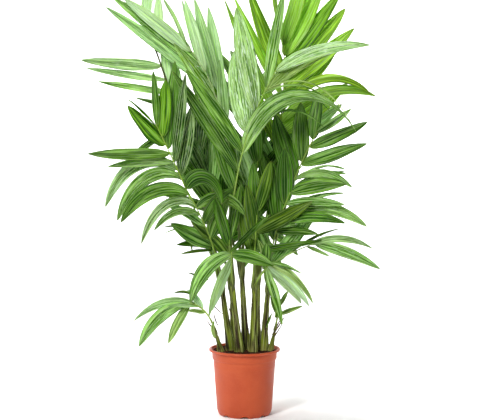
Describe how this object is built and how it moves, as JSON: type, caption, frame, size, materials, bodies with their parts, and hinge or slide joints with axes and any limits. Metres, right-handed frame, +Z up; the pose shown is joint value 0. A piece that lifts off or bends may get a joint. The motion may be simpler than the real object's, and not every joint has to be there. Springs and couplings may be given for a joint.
{
  "type": "potted palm",
  "caption": "Feather-leaved palm: arching fronds of pleated leaflets on clustered sheathed stems, in soil, in a round tapered plastic nursery pot with a rolled rim.",
  "frame": {"origin": "centre of the underside of the pot's floor, where the pot rests", "axes": "+Z up along the pot's axis, -Y the side the plant is looked at from, +X to its right"},
  "size_m": [1.0085, 0.9337, 1.5409],
  "materials": {
    "pot_plastic": "satin",
    "potting_soil": "matte",
    "palm_stem": "matte",
    "palm_leaf": "satin"
  },
  "bodies": {
    "root": {"pot": "pot_plastic", "soil": "potting_soil", "stem_left": "palm_stem", "stem_front_left": "palm_stem", "stem_middle": "palm_stem", "stem_front": "palm_stem", "stem_right": "palm_stem", "stem_back": "palm_stem", "stem_back_left": "palm_stem", "stem_low_left": "palm_stem", "stem_low_right": "palm_stem", "frond_centre": "palm_leaf", "frond_low_front_left": "palm_leaf", "frond_low_front_right": "palm_leaf", "frond_left": "palm_leaf", "frond_mid_left": "palm_leaf", "frond_inner_front": "palm_leaf", "frond_spear": "palm_leaf", "frond_mid_right": "palm_leaf", "frond_low_right": "palm_leaf", "frond_right": "palm_leaf", "frond_low_left": "palm_leaf", "frond_small_right": "palm_leaf", "frond_inner_left": "palm_leaf", "frond_top_left": "palm_leaf", "frond_pale_fan": "palm_leaf", "frond_top_right": "palm_leaf", "frond_far_left": "palm_leaf", "frond_back_right": "palm_leaf", "frond_back_middle": "palm_leaf", "frond_back_low": "palm_leaf", "frond_back_left": "palm_leaf", "frond_back_low_left": "palm_leaf", "frond_inner_right": "palm_leaf"}
  },
  "joints": []
}
